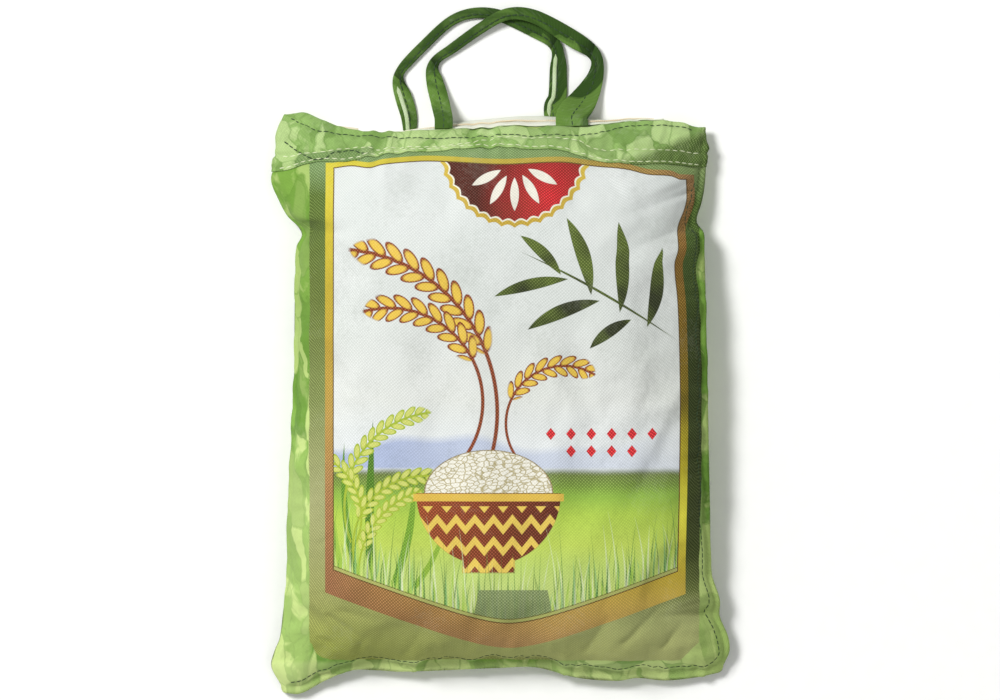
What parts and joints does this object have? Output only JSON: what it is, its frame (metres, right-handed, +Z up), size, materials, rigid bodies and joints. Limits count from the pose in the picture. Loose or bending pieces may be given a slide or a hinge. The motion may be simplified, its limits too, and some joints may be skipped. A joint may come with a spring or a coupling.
{
  "type": "filled zip-top rice sack, closed, lying on its back",
  "caption": "Pillow-shaped cloth rice sack, zipped shut and full, with a printed front, a green band at the mouth and a pair of strap handles.",
  "frame": {"origin": "on the flat underside, below the middle of the sack", "axes": "+Z up out of the printed front, +Y from the bottom hem to the zip mouth and its handles, +X to the right seen from above"},
  "size_m": [0.3211, 0.4817, 0.0801],
  "materials": {
    "printed_cloth": "matte diagonal-weave cloth, printed in colours on the front, leaf-green pattern on the back",
    "leaf_green_cloth": "matte diagonal-weave cloth with a light leaf pattern and stitched hems",
    "cream_tape": "matte woven zip tape",
    "nylon_teeth": "beige nylon coil with a soft shine",
    "painted_slider": "cream painted metal",
    "handle_cloth": "matte green strap, folded lengthways and stitched"
  },
  "bodies": {
    "root": {"sack": "printed_cloth", "front_band": "leaf_green_cloth", "back_band": "leaf_green_cloth", "zip_tape": "cream_tape", "zip_coil": "nylon_teeth", "zip_slider": "painted_slider", "front_handle": "handle_cloth", "back_handle": "handle_cloth"}
  },
  "joints": []
}
